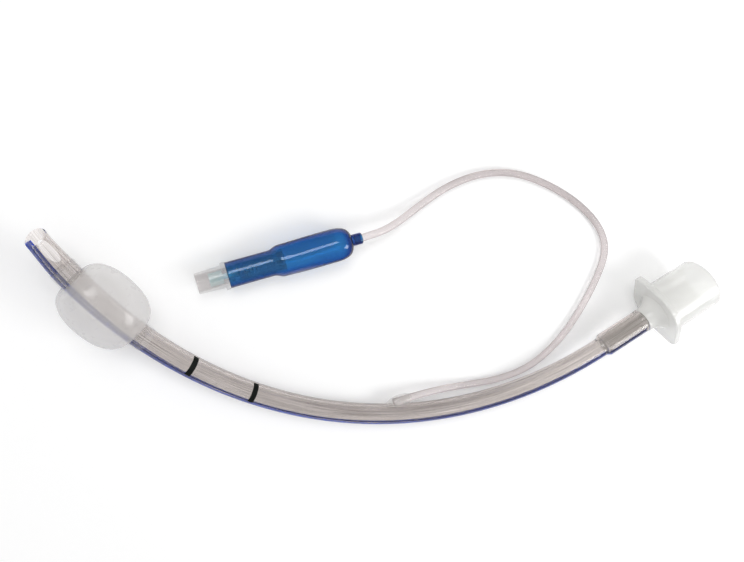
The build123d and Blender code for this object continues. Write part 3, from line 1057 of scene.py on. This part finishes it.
@dataclass
class Studio:
    """Pale floor, soft light and the camera at the photograph's angle.

    Places are in mm and the floor's size is in metres.
    """

    camera_place: Point = (-63.928, 40.439, 148.321)
    aim: Point = (-13.125, 11.292, 0.0)
    lens: float = 29.576
    camera_roll: float = 0.119
    floor_size: float = 1.6
    floor_height: float = -0.1
    horizon: float = 0.35
    zenith: float = 0.62
    sky_span: tuple[float, float] = (-0.1, 0.9)
    paper_lift: float = 0.22
    through_lift: float = 0.5
    paper_grain: float = 900.0
    paper_tones: tuple[float, float] = (0.84, 0.86)
    lamps: tuple[Lamp, ...] = (
        Lamp("key", (-120, 260, 420), (0, 10, 0), (260, 180), 0.7),
        Lamp("window", (290, -110, 270), (0, 0, 0), (190, 150), 0.6),
    )

    def paper(self) -> bpy.types.Material:
        """Pale paper that reads as white to the camera and through clear pieces."""
        surface = bpy.data.materials.new("floor_paper")
        surface.use_nodes = True
        nodes, links = surface.node_tree.nodes, surface.node_tree.links
        shader = nodes["Principled BSDF"]
        shader.inputs["Roughness"].default_value = 0.9
        shader.inputs["Specular IOR Level"].default_value = 0.1
        shader.inputs["Emission Color"].default_value = (1, 1, 1, 1)
        grain = nodes.new("ShaderNodeTexNoise")
        grain.inputs["Scale"].default_value = self.paper_grain
        tone = nodes.new("ShaderNodeMix")
        tone.data_type = "RGBA"
        for socket, grey in zip(("A", "B"), self.paper_tones):
            tone.inputs[socket].default_value = (grey, grey, grey, 1)
        links.new(grain.outputs["Fac"], tone.inputs["Factor"])
        links.new(tone.outputs["Result"], shader.inputs["Base Color"])
        path = nodes.new("ShaderNodeLightPath")
        plain = nodes.new("ShaderNodeMath")
        plain.operation = "MULTIPLY"
        plain.inputs[1].default_value = self.paper_lift
        links.new(path.outputs["Is Camera Ray"], plain.inputs[0])
        lift = nodes.new("ShaderNodeMath")
        lift.operation = "MULTIPLY_ADD"
        lift.inputs[1].default_value = self.through_lift
        links.new(path.outputs["Is Transmission Ray"], lift.inputs[0])
        links.new(plain.outputs[0], lift.inputs[2])
        links.new(lift.outputs[0], shader.inputs["Emission Strength"])
        return surface

    def floor(self) -> None:
        """Plain pale floor that keeps the object's shadow."""
        half, low = self.floor_size / 2, self.floor_height * MM
        mesh = bpy.data.meshes.new("floor")
        corners = [(-half, -half, low), (half, -half, low), (half, half, low), (-half, half, low)]
        mesh.from_pydata(corners, [], [(0, 1, 2, 3)])
        thing = bpy.data.objects.new("floor", mesh)
        bpy.context.scene.collection.objects.link(thing)
        thing.data.materials.append(self.paper())

    def world(self) -> None:
        """Soft light from all round, brighter overhead than at the horizon."""
        sky = bpy.data.worlds.new("studio")
        sky.use_nodes = True
        bpy.context.scene.world = sky
        nodes, links = sky.node_tree.nodes, sky.node_tree.links
        back = nodes["Background"]
        back.inputs["Color"].default_value = (1, 1, 1, 1)
        place = nodes.new("ShaderNodeTexCoord")
        height = nodes.new("ShaderNodeSeparateXYZ")
        level = nodes.new("ShaderNodeMapRange")
        level.interpolation_type = "SMOOTHSTEP"
        for socket, value in zip(("From Min", "From Max"), self.sky_span):
            level.inputs[socket].default_value = value
        level.inputs["To Min"].default_value = self.horizon
        level.inputs["To Max"].default_value = self.zenith
        links.new(place.outputs["Generated"], height.inputs["Vector"])
        links.new(height.outputs["Z"], level.inputs["Value"])
        links.new(level.outputs["Result"], back.inputs["Strength"])

    def camera(self) -> None:
        """Camera at the photograph's place."""
        lens = bpy.data.cameras.new("camera")
        lens.lens = self.lens
        lens.sensor_width = 36
        lens.clip_start = 0.01
        thing = bpy.data.objects.new("camera", lens)
        back = (Vector(self.camera_place) - Vector(self.aim)).normalized()
        up = Vector((0, 1, 0))
        right = up.cross(back).normalized()
        right = Matrix.Rotation(math.radians(self.camera_roll), 3, back) @ right
        up = back.cross(right)
        turn = Matrix((right, up, back)).transposed().to_4x4()
        thing.matrix_world = Matrix.Translation(Vector(self.camera_place) * MM) @ turn
        bpy.context.scene.collection.objects.link(thing)
        bpy.context.scene.camera = thing

    def build(self) -> None:
        """Build the floor, the light and the camera."""
        self.floor()
        self.world()
        for lamp in self.lamps:
            lamp.build()
        self.camera()
        bpy.context.scene.view_settings.view_transform = "Standard"


def main() -> None:
    """Build the tube piece by piece, then the studio."""
    logging.basicConfig(level=logging.INFO, format="%(name)s: %(message)s")
    made: Made = {}
    Shaft().build(made)
    Cuff().build(made)
    dress(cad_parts["connector"], POLYPROPYLENE, made)
    dress(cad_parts["line_bead"], CEMENT, made)
    carried = Pilot().build(made)
    InflationLine().build(made, carried)
    Studio().build()


if __name__ == "__main__":
    main()
